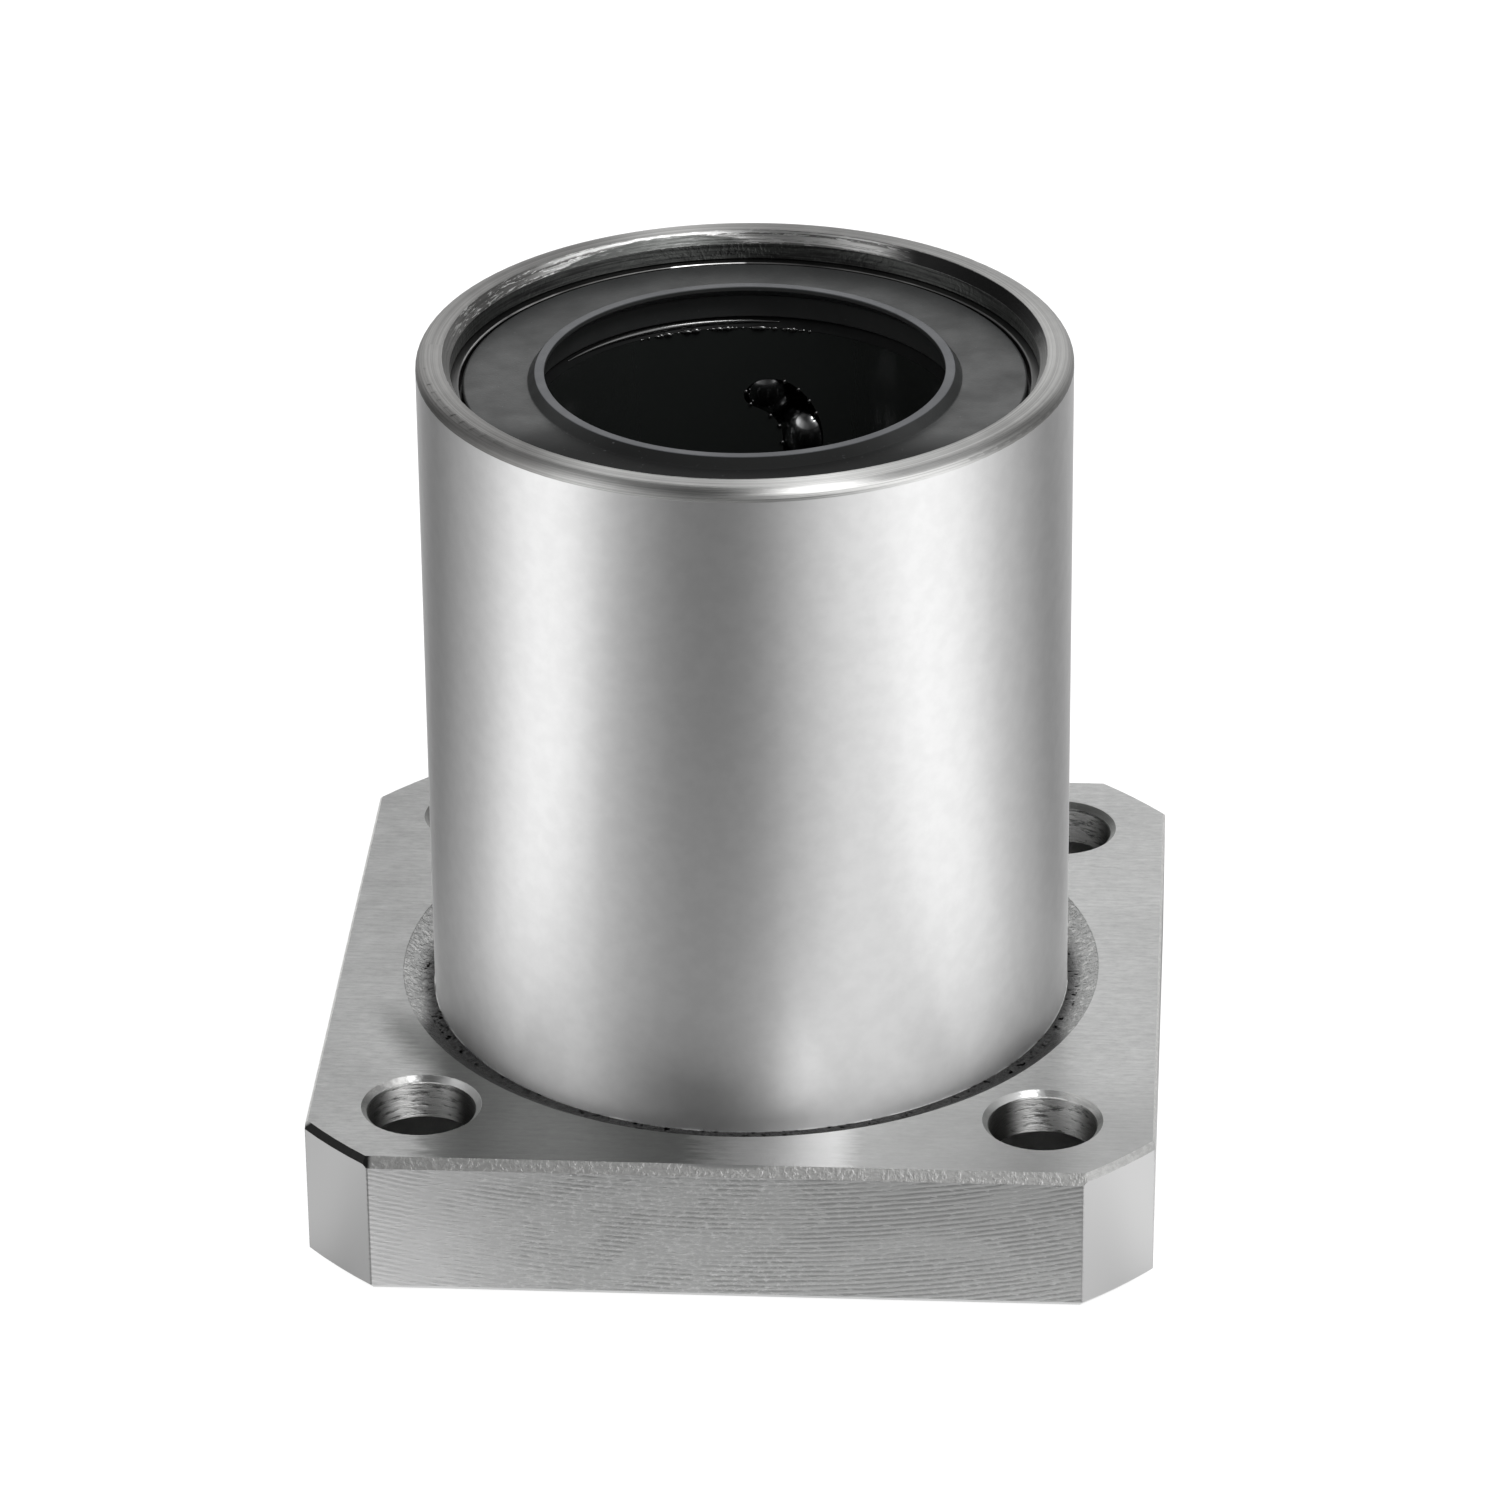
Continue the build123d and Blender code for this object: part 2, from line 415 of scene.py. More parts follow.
def turned(outline: np.ndarray, start: float = 0.0, sweep: float = 2 * math.pi, count: int = 360) -> Mesh:
    """Surface of an outline turned about Z.

    The point (across, height) of the outline goes to (across cos a, across sin a, height) at each
    angle a. A part turn gets flat end caps.

    Args:
        outline: closed outline, anticlockwise with across to the right, in millimetres.
        start: first angle in radians.
        sweep: how far it turns, in radians.
        count: steps round the turn.

    Returns:
        Vertices and faces.
    """
    whole = sweep > 2 * math.pi - 1e-6
    angles = start + sweep * np.arange(count + (0 if whole else 1)) / count
    across, height = outline.T
    rings = np.stack([
        np.cos(angles)[:, None] * across,
        np.sin(angles)[:, None] * across,
        np.broadcast_to(height, (len(angles), len(height))),
    ], axis=-1)
    size = len(outline)
    faces = [tuple(quad) for quad in ring_quads(len(angles), size, whole).tolist()]
    if not whole:
        last = (len(angles) - 1) * size
        faces.append(tuple(range(size)))
        faces.append(tuple(last + place for place in reversed(range(size))))
    return rings.reshape(-1, 3), faces


def ball_mesh(radius: float, rings: int = 20, spokes: int = 36) -> Shape:
    """Sphere on a grid of the angle from its pole and the angle round it, with a vertex at each pole.

    Args:
        radius: radius of the ball.
        rings: rows of vertices between the poles.
        spokes: vertices in a row.

    Returns:
        Vertices, quads between the rows and triangles at the poles.
    """
    polar = np.pi * np.arange(1, rings + 1) / (rings + 1)
    around = 2 * np.pi * np.arange(spokes) / spokes
    rows = np.stack([
        np.sin(polar)[:, None] * np.cos(around),
        np.sin(polar)[:, None] * np.sin(around),
        np.broadcast_to(np.cos(polar)[:, None], (rings, spokes)),
    ], axis=-1)
    return closed_by_tips(rows * radius, [(0, 0, radius), (0, 0, -radius)])


def at_each(centres: np.ndarray, shape: Shape, scales: Optional[np.ndarray] = None) -> Mesh:
    """Copies of one closed shape at several places.

    Args:
        centres: places, one row each.
        shape: vertices, quads and triangles of the shape.
        scales: three scale factors of each copy, or none for full size.

    Returns:
        Vertices and faces of all copies.
    """
    points, quads, triangles = shape
    scale = np.ones((len(centres), 3)) if scales is None else scales
    placed = (points[None] * scale[:, None] + centres[:, None]).reshape(-1, 3)
    shift = np.arange(len(centres))[:, None, None] * len(points)
    faces = (quads[None] + shift).reshape(-1, 4).tolist() + (triangles[None] + shift).reshape(-1, 3).tolist()
    return placed, [tuple(face) for face in faces]


@dataclass(frozen=True)
class Sizes:
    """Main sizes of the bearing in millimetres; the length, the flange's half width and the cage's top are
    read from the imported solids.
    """

    length: float
    outer_radius: float = 16.0
    mouth_radius: float = 14.35
    mouth_bevel: float = 0.6
    face_recess: float = 1.45
    ring_thickness: float = 0.7
    flange_half: float = 20.7
    flange_height: float = 7.3
    relief_radius: float = 17.6
    relief_floor: float = 6.0
    corner_radius: float = 27.0
    bolt_offset: float = 15.203
    hole_radius: float = 2.65
    hole_bevel: float = 0.32
    cage_radius: float = 10.35
    cage_top: float = 38.3
    cage_bevel: float = 0.55

    @classmethod
    def from_frame(cls) -> "Sizes":
        """Reads the length, the flange and the cage from the boxes of their nodes."""
        _, high = (np.array(corner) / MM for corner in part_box("flanged_outer_cylinder"))
        cage = np.array(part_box("ball_retainer")[1]) / MM
        return cls(length=float(high[2]), flange_half=float(high[0]), cage_top=float(cage[2]))


@dataclass(frozen=True)
class SteelFinish:
    """Bearing steel: a ground barrel, milled flange sides, turned ends and drilled holes."""

    sizes: Sizes
    bare: Colour = (0.86, 0.86, 0.86)
    # bright specks of grit and filing, and also painted glints and highlights on the mouth's bevel and down
    # the bolt holes
    bright_speck_and_glint: Colour = (1.0, 1.0, 0.99)
    flange: Colour = (0.80, 0.805, 0.80)
    milled: Colour = (0.67, 0.675, 0.67)
    milled_hollow: Colour = (0.26, 0.26, 0.26)
    filed: Colour = (0.80, 0.80, 0.79)
    facet: Colour = (0.60, 0.60, 0.60)
    facet_shade: Colour = (0.38, 0.38, 0.38)
    end_middle: Colour = (0.46, 0.457, 0.45)
    # painted highlight and painted shade of the turned end, by side
    end_front_highlight: Colour = (0.78, 0.78, 0.77)
    end_left_shade: Colour = (0.275, 0.272, 0.266)
    end_right_shade: Colour = (0.44, 0.438, 0.43)
    # painted highlight and painted shade on the mouth's bevel
    bevel_lit: Colour = (0.95, 0.95, 0.94)
    bevel_shade: Colour = (0.02, 0.02, 0.02)
    stain_grain: Colour = (0.3, 0.3, 0.3)
    # painted shade inside the bolt holes
    hole_wall_shade: Colour = (0.07, 0.07, 0.068)
    # near black: dirt in the tool rings and the bore, painted shade at the sleeve's foot, and the darkened
    # left front corner bevel
    dirt_and_shade: Colour = (0.05, 0.05, 0.05)
    # dark oil for the bore and the stain, and also the painted shadow on the flange's top and painted shade
    # round the holes
    oil: Colour = (0.14, 0.145, 0.14)
    mill_pitch: float = 0.27
    mill_arc: float = 80.0
    highlight_shift: float = 0.35

    def material(self) -> bpy.types.Material:
        """Mixes the finish of every face by where the face lies.

        Returns:
            The material.
        """
        coat = Coat("ground_steel")
        faces = self.faces(coat)
        lines = self.milling(coat)
        self.colour(coat, faces, lines)
        self.roughness(coat, faces)
        self.marks(coat, faces, lines)
        self.grain_direction(coat, faces)
        coat.set(metallic=1.0, anisotropic=0.9)
        return coat.material

    def faces(self, coat: Coat) -> dict[str, Field]:
        """Masks of the sleeve's and the flange's faces.

        Args:
            coat: the material.

        Returns:
            A mask for each face, 1 on it and 0 off it.
        """
        s = self.sizes
        up = coat.nz.step(0.7, 0.85)
        wall = coat.nz.size().step(0.5, 0.3)
        plate = coat.z.step(s.flange_height + 0.02, s.flange_height - 0.01)
        below_top = coat.z.within(s.relief_floor, s.flange_height - 0.015, 0.015)
        sleeve = coat.r.within(s.outer_radius - 0.03, s.outer_radius + 0.03, 0.02)
        rim = coat.z.step(s.length - s.mouth_bevel - 0.02, s.length - s.mouth_bevel + 0.02)
        end = rim * coat.r.step(s.mouth_radius + 0.32, s.mouth_radius + 0.36)
        hole = self.hole_distance(coat)
        edge = hole.within(s.hole_radius, s.hole_radius + s.hole_bevel + 0.02, 0.02) * plate
        edge = edge * coat.z.step(s.flange_height - 0.4, s.flange_height - 0.36)
        outermost = coat.x.size().math(Op.MAXIMUM, coat.y.size())
        sloping = plate * coat.z.step(6.7, 6.9) * coat.nz.within(0.5, 0.9, 0.1)
        return {
            "barrel": sleeve * coat.z.step(s.relief_floor, s.relief_floor + 0.4) * wall,
            "rim": rim,
            "end": end,
            "bevel": rim - end,
            "bore": coat.r.step(s.mouth_radius + 0.8, s.mouth_radius + 0.5) * (1.0 - rim),
            "relief": coat.r.within(s.outer_radius + 0.05, s.relief_radius + 0.02, 0.03) * below_top,
            "hole": hole.step(s.hole_radius + 0.05, s.hole_radius + 0.02) * plate,
            "hole_edge": edge * coat.z.step(7.295, 7.28),
            "top": plate * up * coat.r.step(s.relief_radius - 0.06, s.relief_radius) * coat.z.step(7.0, 7.2),
            "side": plate * wall * outermost.step(s.flange_half - 0.05, s.flange_half - 0.02),
            "corner": plate * wall * coat.r.step(s.corner_radius - 0.06, s.corner_radius - 0.03),
            "edge_bevel": sloping * coat.r.step(20.3, 20.5),
        }

    def hole_distance(self, coat: Coat) -> Field:
        """Distance from the axis of the nearest bolt hole, by folding the plate on its two axes."""
        across = coat.x.size() - self.sizes.bolt_offset
        along = coat.y.size() - self.sizes.bolt_offset
        return (across * across + along * along).root()

    def colour(self, coat: Coat, faces: dict[str, Field], lines: Field) -> None:
        """Tints each face: bare on the barrel, greyer on the flange, oily in the bore, and dark with painted
        shade in the holes; the flange's top, its sides, the end and the relief also carry painted light and
        shade.

        Args:
            coat: the material.
            faces: masks of the faces.
            lines: height of the milling arcs.
        """
        cloud = coat.noise(coat.place, 0.22, 3.0).step(0.3, 0.7)
        satin = coat.noise(coat.place, 1.1, 3.0, 0.6).step(0.3, 0.7)
        smear = coat.noise((coat.turn * 4.0, coat.z * 7.0, coat.r), 1.0, 3.0, 0.6).step(0.35, 0.7)
        tone = coat.mix(cloud, self.flange, self.scaled(self.flange, 0.9))
        layers = [
            *self.top_layers(coat, faces["top"]),
            (faces["side"], self.milled_tone(coat, lines)),
            *self.edge_layers(coat, faces["corner"], faces["edge_bevel"]),
            (faces["barrel"], coat.mix(satin, self.scaled(self.bare, 0.955), self.bare)),
            *self.rim_layers(coat, faces["rim"], faces["bevel"]),
            (faces["bore"], coat.mix(smear, self.oil, self.dirt_and_shade)),
            *self.relief_layers(coat, faces["relief"]),
            *self.hole_layers(coat, faces["hole"], faces["hole_edge"]),
        ]
        for mask, paint in layers:
            tone = coat.mix(mask, tone, paint)
        coat.set(base_color=tone)

    def top_layers(self, coat: Coat, top: Field) -> list[Layer]:
        """Flange's upper face: brushed grain, grit, painted shade on the right front, a painted shadow of the
        sleeve in front of it and to its left, and a painted reflection of the sleeve's bright band.

        Args:
            coat: the material.
            top: mask of the face.

        Returns:
            Masks and colours, laid on in this order.
        """
        brushed = coat.noise((coat.x * 0.4, coat.y * 3.6, 0.0), 1.0, 4.0, 0.7).step(0.3, 0.7)
        grit = coat.noise((coat.x * 1.6, coat.y * 4.0, 7.0), 1.0, 4.0, 0.75)
        # painted shade: the flange's top darkens towards its right front
        right_front_shade = coat.y.step(-9.0, -16.0) * coat.x.step(3.0, 6.0)
        return [
            (top * brushed * 0.8, self.scaled(self.flange, 0.76)),
            (top * grit.step(0.5, 0.66) * 0.3, self.bright_speck_and_glint),
            (top * grit.step(0.5, 0.34) * 0.3, self.scaled(self.flange, 0.5)),
            (top * right_front_shade * 0.75, self.scaled(self.flange, 0.62)),
            # painted shadow of the sleeve, in the dark oil colour
            (top * self.sleeve_shadow(coat), self.oil),
            # painted reflection of the sleeve's bright band, in white
            (top * self.reflection_patch(coat), (1.0, 1.0, 1.0)),
        ]

    def edge_layers(self, coat: Coat, corner: Field, bevel: Field) -> list[Layer]:
        """Flange's corners and bevelled edges: filed and flecked, with painted shade on the corner facets at
        the left front and the bevel there darkened to near black.

        Args:
            coat: the material.
            corner: mask of the cut corners.
            bevel: mask of the bevelled edges.

        Returns:
            Masks and colours, laid on in this order.
        """
        left_front = corner * coat.x.step(-10.0, -14.0) * coat.y.step(-5.0, -10.0)
        dark_corner_bevel = bevel * coat.x.step(-17.0, -17.3) * coat.y.step(-17.0, -17.3)
        return [
            (corner, self.facet),
            # painted shade on the corner facets at the left front
            (left_front * 0.75, self.facet_shade),
            # the bevel at the left front corner, darkened to near black
            (dark_corner_bevel, self.dirt_and_shade),
            (bevel * (1.0 - dark_corner_bevel), self.filed),
            (self.chatter(coat) * bevel * (1.0 - dark_corner_bevel) * 0.6, self.bright_speck_and_glint),
        ]

    def rim_layers(self, coat: Coat, rim: Field, bevel: Field) -> list[Layer]:
        """Turned end: rings of the tool, painted shade on its left side and a little on its right, a painted
        highlight on its front, and a stained bevel that also carries painted highlights, glints and shade.

        Args:
            coat: the material.
            rim: mask of the whole end.
            bevel: mask of its inner bevel.

        Returns:
            Masks and colours, laid on in this order.
        """
        rings = coat.noise((coat.r * 13.0, coat.turn * 0.6, coat.z * 13.0), 1.0, 3.0, 0.6).step(0.3, 0.7)
        flecks = coat.noise((coat.z * 9.0, coat.turn * 16.0, coat.r * 9.0), 1.0, 3.0, 0.7)
        # painted highlight and painted shade: the turned end is brighter in front, darker to the left and a
        # little darker to the right
        ground = coat.mix(coat.y.step(-8.0, -13.0), self.end_middle, self.end_front_highlight)
        ground = coat.mix(coat.x.step(-5.0, -10.0), ground, self.end_left_shade)
        ground = coat.mix(coat.x.step(11.5, 14.5), ground, self.end_right_shade)
        back = coat.y.step(0.0, 5.0)
        back_right = coat.x.step(4.5, 8.0) * coat.y.step(0.0, 4.0)
        lit = rings.step(0.75, 0.35) * coat.x.within(-9.0, 5.0, 3.0) * back
        return [
            (rim, coat.mix(rings * 0.4, ground, self.dirt_and_shade)),
            # painted highlight: bright tool rings on the back of the bevel
            (bevel * lit, self.bevel_lit),
            # painted glints: bright flecks on the back of the bevel
            (bevel * flecks.step(0.53, 0.62) * back, self.bright_speck_and_glint),
            # painted shade on the bevel's back right
            (bevel * back_right, self.bevel_shade),
            (bevel * self.stain(coat), coat.mix(flecks.step(0.5, 0.75), self.oil, self.stain_grain)),
        ]

    def stain(self, coat: Coat) -> Field:
        """Dark patch low on the bevel's left back, with an uneven arched upper edge."""
        wander = coat.noise((coat.x * 0.9, coat.z * 2.0, 1.0), 1.0, 3.0, 0.6) * 0.22
        off_middle = coat.x + 5.0
        arch = coat.z + wander + off_middle * off_middle * 0.018
        under_arch = arch.step(self.sizes.length + 0.04, self.sizes.length - 0.03)
        return under_arch * coat.x.step(-0.2, -1.6) * coat.y.step(0.0, 4.0)

    def relief_layers(self, coat: Coat, relief: Field) -> list[Layer]:
        """Turned relief round the sleeve: bright grains on darker steel, and painted shade at the sleeve's
        foot that lies widest in front.

        Args:
            coat: the material.
            relief: mask of the relief.

        Returns:
            Masks and colours, laid on in this order.
        """
        grains = coat.noise(coat.place, 2.6, 3.0, 0.6).step(0.5, 0.68)
        painted_shade_edge = self.sizes.outer_radius + 1.0 + coat.y.step(-4.0, -9.5) * 1.6
        return [
            (relief, self.scaled(self.flange, 0.66)),
            (relief * grains, self.filed),
            # painted shade in the relief's corner at the sleeve's foot, widest in front
            (relief * (painted_shade_edge - coat.r).step(0.0, 0.9) * 0.9, self.dirt_and_shade),
        ]

    def hole_layers(self, coat: Coat, hole: Field, edge: Field) -> list[Layer]:
        """Bolt holes: dark walls of painted shade with a painted highlight streak down the back of each, and
        painted shade on the bevels round them, except at the back of the front holes.

        Args:
            coat: the material.
            hole: mask of the walls.
            edge: mask of the bevels round the holes.

        Returns:
            Masks and colours, laid on in this order.
        """
        across = (coat.x.size() - self.sizes.bolt_offset - self.highlight_shift).size()
        # painted highlight: a bright streak down the back of each hole's wall
        highlight_streak = across.step(2.3, 0.9) * (self.drilled(coat).step(0.33, 0.52) * 0.8 + 0.2)
        behind = (coat.y + self.sizes.bolt_offset).step(0.4, 1.6) * coat.y.step(0.0, -1.0)
        return [
            (hole, coat.mix(highlight_streak, self.hole_wall_shade, self.bright_speck_and_glint)),
            # painted shade on the holes' bevels, left out at the back of the front holes
            (edge * (1.0 - behind) * 0.7, self.oil),
        ]

    @staticmethod
    def scaled(colour: Colour, share: float) -> Colour:
        """Darker or lighter version of a colour."""
        return tuple(part * share for part in colour)

    def sleeve_shadow(self, coat: Coat) -> Field:
        """Dark painted shadow of the sleeve on the flange's top, reaching out from the relief in front of the
        sleeve and to its left.
        """
        wander = coat.noise((coat.x * 0.5, coat.y * 3.0, 0.0), 1.0, 3.0, 0.6) * 3.0
        ahead = coat.y.step(-9.5, -12.5) * (coat.x - wander * 1.2).within(-15.6, -4.2, 2.2)
        beside = (coat.r - wander * 0.5).step(19.4, 17.6) * coat.y.step(-4.0, -9.0) * coat.x.step(1.0, -4.0)
        return ahead.math(Op.MAXIMUM, beside) * 0.92

    def reflection_patch(self, coat: Coat) -> Field:
        """Painted reflection of the sleeve's bright band: a bright patch in front of the sleeve, right of the
        middle.
        """
        wander = coat.noise((coat.x * 0.7, coat.y * 4.0, 3.0), 1.0, 3.0, 0.6) * 1.6
        return (coat.x - wander).within(0.4, 4.2, 1.8) * coat.y.step(-14.5, -17.0)

    def milled_tone(self, coat: Coat, lines: Field) -> Field:
        """Tone of the milled sides: a painted highlight that brightens them towards the left, with dark
        hollows and bright specks.

        Args:
            coat: the material.
            lines: height of the milling arcs.

        Returns:
            The colour field.
        """
        # painted highlight: the sides turn white towards the left
        shine = coat.x.step(-6.0, -18.5)
        hollow = (lines * -100.0).step(0.0, 0.9)
        along = coat.x + coat.y
        speck = coat.noise((along * 2.8, coat.z * 4.6, coat.nx * 7.0), 1.0, 4.0, 0.75).step(0.46, 0.70)
        zone = coat.noise((along * 0.12, coat.z * 0.25, coat.nx), 1.0, 1.0).step(0.35, 0.6)
        worn = coat.x.within(-17.0, 1.0, 5.0) * 0.5 + 0.35
        base = coat.mix(shine, self.milled, (1.0, 1.0, 1.0))
        base = coat.mix(hollow * (0.5 - shine * 0.46), base, self.milled_hollow)
        return coat.mix(speck * zone.math(Op.MAXIMUM, worn) * worn * 0.8, base, (1.0, 1.0, 1.0))

    def chatter(self, coat: Coat) -> Field:
        """Bright flecks along the bevelled edges, left by the deburring file."""
        along = coat.x + coat.y
        return coat.noise((along * 3.0, coat.z * 8.0, coat.nx), 1.0, 4.0, 0.7).step(0.42, 0.62)

    def drilled(self, coat: Coat) -> Field:
        """Uneven rings that the drill left in the bolt holes."""
        return coat.noise((coat.z * 4.5, coat.x * 0.9, coat.y * 0.9), 1.0, 4.0, 0.7)

    def roughness(self, coat: Coat, faces: dict[str, Field]) -> None:
        """Sets how blurred each face reflects.

        Args:
            coat: the material.
            faces: masks of the faces.
        """
        mottle = coat.noise(coat.place, 0.9, 3.0) - 0.5
        level = coat.blend(faces["barrel"], 0.44, 0.50 + mottle * 0.03)
        for face, blur in (
                ("side", 0.50 + mottle * 0.12),
                ("top", 0.40 + mottle * 0.10 - self.reflection_patch(coat) * 0.06),
                ("rim", 0.42 + mottle * 0.10),
                ("bore", 0.45),
                ("relief", 0.5),
                ("hole", 0.52),
                ("edge_bevel", 0.62)):
            level = coat.blend(faces[face], level, blur)
        coat.set(roughness=level)

    def marks(self, coat: Coat, faces: dict[str, Field], lines: Field) -> None:
        """Cuts the tool marks, as heights in millimetres.

        Args:
            coat: the material.
            faces: masks of the faces.
            lines: height of the milling arcs.
        """
        speck = coat.noise(coat.place, 3.5, 3.0, 0.6)
        ground = coat.noise((coat.turn * 2.0, coat.z * 9.0, 0.0), 1.0, 2.0) * 0.0008
        rings = coat.noise((coat.r * 11.0, coat.turn * 0.5, coat.z * 11.0), 1.0, 3.0, 0.6) * 0.022
        brush = coat.noise((coat.x * 0.3, coat.y * 4.0, 0.0), 1.0, 4.0, 0.7) * 0.020
        drill = self.drilled(coat) * 0.09
        pits = speck.step(0.42, 0.66) * 0.05
        height = ground * faces["barrel"] + rings * faces["rim"] + brush * faces["top"]
        height = height + drill * (faces["hole"] + faces["hole_edge"] * 0.4)
        height = height + pits * (faces["relief"] + faces["bore"] * 0.3 + faces["edge_bevel"] * 0.14)
        height = height + lines * faces["side"] + speck * 0.004 * faces["corner"]
        coat.relief(height, self.turned_normal(coat, faces["barrel"]))

    def turned_normal(self, coat: Coat, barrel: Field) -> Field:
        """Direction that the surface faces, without the sideways step where the turned walls close.

        Args:
            coat: the material.
            barrel: mask of the barrel.

        Returns:
            The normal. On the sleeve it is (x a / r, y a / r, nz), where a = (nx x + ny y) / r is
            the outward part of the mesh's own normal.
        """
        outward = (coat.nx * coat.x + coat.ny * coat.y) / coat.r
        round_wall = coat.vector(coat.x / coat.r * outward, coat.y / coat.r * outward, coat.nz)
        above = coat.z.step(self.sizes.flange_height + 0.1, self.sizes.flange_height + 0.3)
        sleeve = barrel.math(Op.MAXIMUM, above)
        return coat.mix(sleeve, coat.vector(coat.nx, coat.ny, coat.nz), round_wall)

    def milling(self, coat: Coat) -> Field:
        """Arcs of a large face mill on the flange's sides.

        The height is a wave of the distance from a centre far above the middle of the face, broken
        by a stretched noise, with short crossing strokes where the cutter came back.

        Args:
            coat: the material.

        Returns:
            The height in millimetres.
        """
        along = coat.blend(coat.nx.size().step(0.7, 0.8), coat.x, coat.y)
        drop = self.mill_arc - coat.z
        reach = (along * along + drop * drop).root()
        wander = coat.noise((along * 0.4, coat.z * 2.0, coat.nx), 1.0, 2.0)
        wave = ((reach + wander * 0.14) * (2 * math.pi / self.mill_pitch)).sine() * 0.011
        faded = coat.noise((along * 0.25, coat.z * 0.5, coat.ny), 1.0, 2.0).step(0.28, 0.6)
        strokes = coat.noise((along * 1.6, coat.z * 7.0, coat.nx + 3.0), 1.0, 2.0, 0.6).step(0.52, 0.72)
        rubbed = coat.noise((along * 0.5, coat.z * 0.6, 5.0), 1.0, 2.0).step(0.35, 0.6)
        worn = coat.x.within(-14.0, -2.0, 4.0) * rubbed
        return wave * (faded * 0.75 + 0.25) * (1.0 - worn * 0.8) + strokes * 0.014

    def grain_direction(self, coat: Coat, faces: dict[str, Field]) -> None:
        """Points the grain across the tool marks.

        It runs upright on walls, along Y on the flange's top and outward on the ends.

        Args:
            coat: the material.
            faces: masks of the faces.
        """
        upright = coat.vector(0.0, 0.0, 1.0)
        outward = coat.vector(coat.x / coat.r, coat.y / coat.r, 0.0)
        grain = coat.mix(faces["top"], upright, (0.0, 1.0, 0.0))
        coat.set(tangent=coat.mix(faces["rim"], grain, outward))


@dataclass(frozen=True)
class RubberFinish:
    """Matt wiper rubber with a dusty bloom on its lip and fine moulding grain."""

    face: Colour = (0.034, 0.0355, 0.0355)
    # painted shade for the front of the seal's face
    front_shade: Colour = (0.006, 0.0065, 0.0065)
    bloom: Colour = (0.055, 0.058, 0.064)
    dust: Colour = (0.14, 0.145, 0.15)
    lip_radius: float = 10.45
    gloss: float = 0.33

    def material(self) -> bpy.types.Material:
        """Mixes the rubber.

        Returns:
            The material.
        """
        coat = Coat("seal_rubber")
        lip = coat.r.step(self.lip_radius, self.lip_radius - 0.15) * coat.nz.size().step(0.6, 0.9)
        cloud = coat.noise(coat.place, 0.35, 4.0, 0.6).step(0.3, 0.75)
        specks = coat.noise(coat.place, 6.0, 2.0).step(0.70, 0.78)
        tone = coat.mix(cloud, self.face, tuple(0.72 * part for part in self.face))
        # painted shade: the front of the seal's face is darkened, and it is rougher there
        front = coat.y.step(-5.0, -9.5)
        tone = coat.mix(front, tone, self.front_shade)
        tone = coat.mix(lip, tone, self.bloom)
        tone = coat.mix(specks * 0.35, tone, self.dust)
        grain = coat.noise(coat.place, 9.0, 3.0) * 0.006
        sag = coat.noise(coat.place, 0.6, 1.0) * 0.03
        coat.relief(grain + sag)
        usual_roughness = coat.blend(cloud, 0.34, 0.46)
        coat.set(base_color=tone, roughness=coat.blend(front * (1.0 - lip), usual_roughness, 0.78), metallic=0.0)
        coat.keep(gloss=self.gloss)
        return coat.material


@dataclass(frozen=True)
class ResinFinish:
    """Glossy black cage resin under a film of oil."""

    base: Colour = (0.0150, 0.0166, 0.0160)
    # painted shade for the cage's bevel
    bevel: Colour = (0.004, 0.0045, 0.0045)
    bevel_foot: float = 37.72

    def material(self) -> bpy.types.Material:
        """Mixes the resin.

        Returns:
            The material.
        """
        coat = Coat("retainer_resin")
        film = coat.noise((coat.turn * 3.0, coat.z * 0.5, coat.r * 0.4), 1.0, 3.0, 0.55)
        coat.relief(coat.noise((coat.x, coat.y, coat.z * 0.35), 1.1, 3.0) * 0.03)
        # painted shade: from the bevel's foot up, the resin is darker
        bevel = coat.z.step(self.bevel_foot, self.bevel_foot + 0.06)
        level = coat.blend(bevel, film.step(0.2, 0.9) * 0.16 + 0.14, 0.19)
        coat.set(base_color=coat.mix(bevel, self.base, self.bevel), roughness=level, metallic=0.0)
        return coat.material


@dataclass(frozen=True)
class BallFinish:
    """Polished ball steel with a thin dark oil film."""

    bare: Colour = (0.40, 0.405, 0.41)
    oil_index: float = 1.9

    def material(self) -> bpy.types.Material:
        """Mixes the polish.

        Returns:
            The material.
        """
        coat = Coat("ball_steel")
        film = coat.noise(coat.place, 0.8, 3.0, 0.6)
        tone = coat.mix(film.step(0.35, 0.75), self.bare, tuple(0.62 * part for part in self.bare))
        coat.set(base_color=tone, roughness=film * 0.14 + 0.12, metallic=1.0)
        coat.set(coat_weight=1.0, coat_roughness=0.05)
        coat.keep(coat_ior=self.oil_index)
        return coat.material


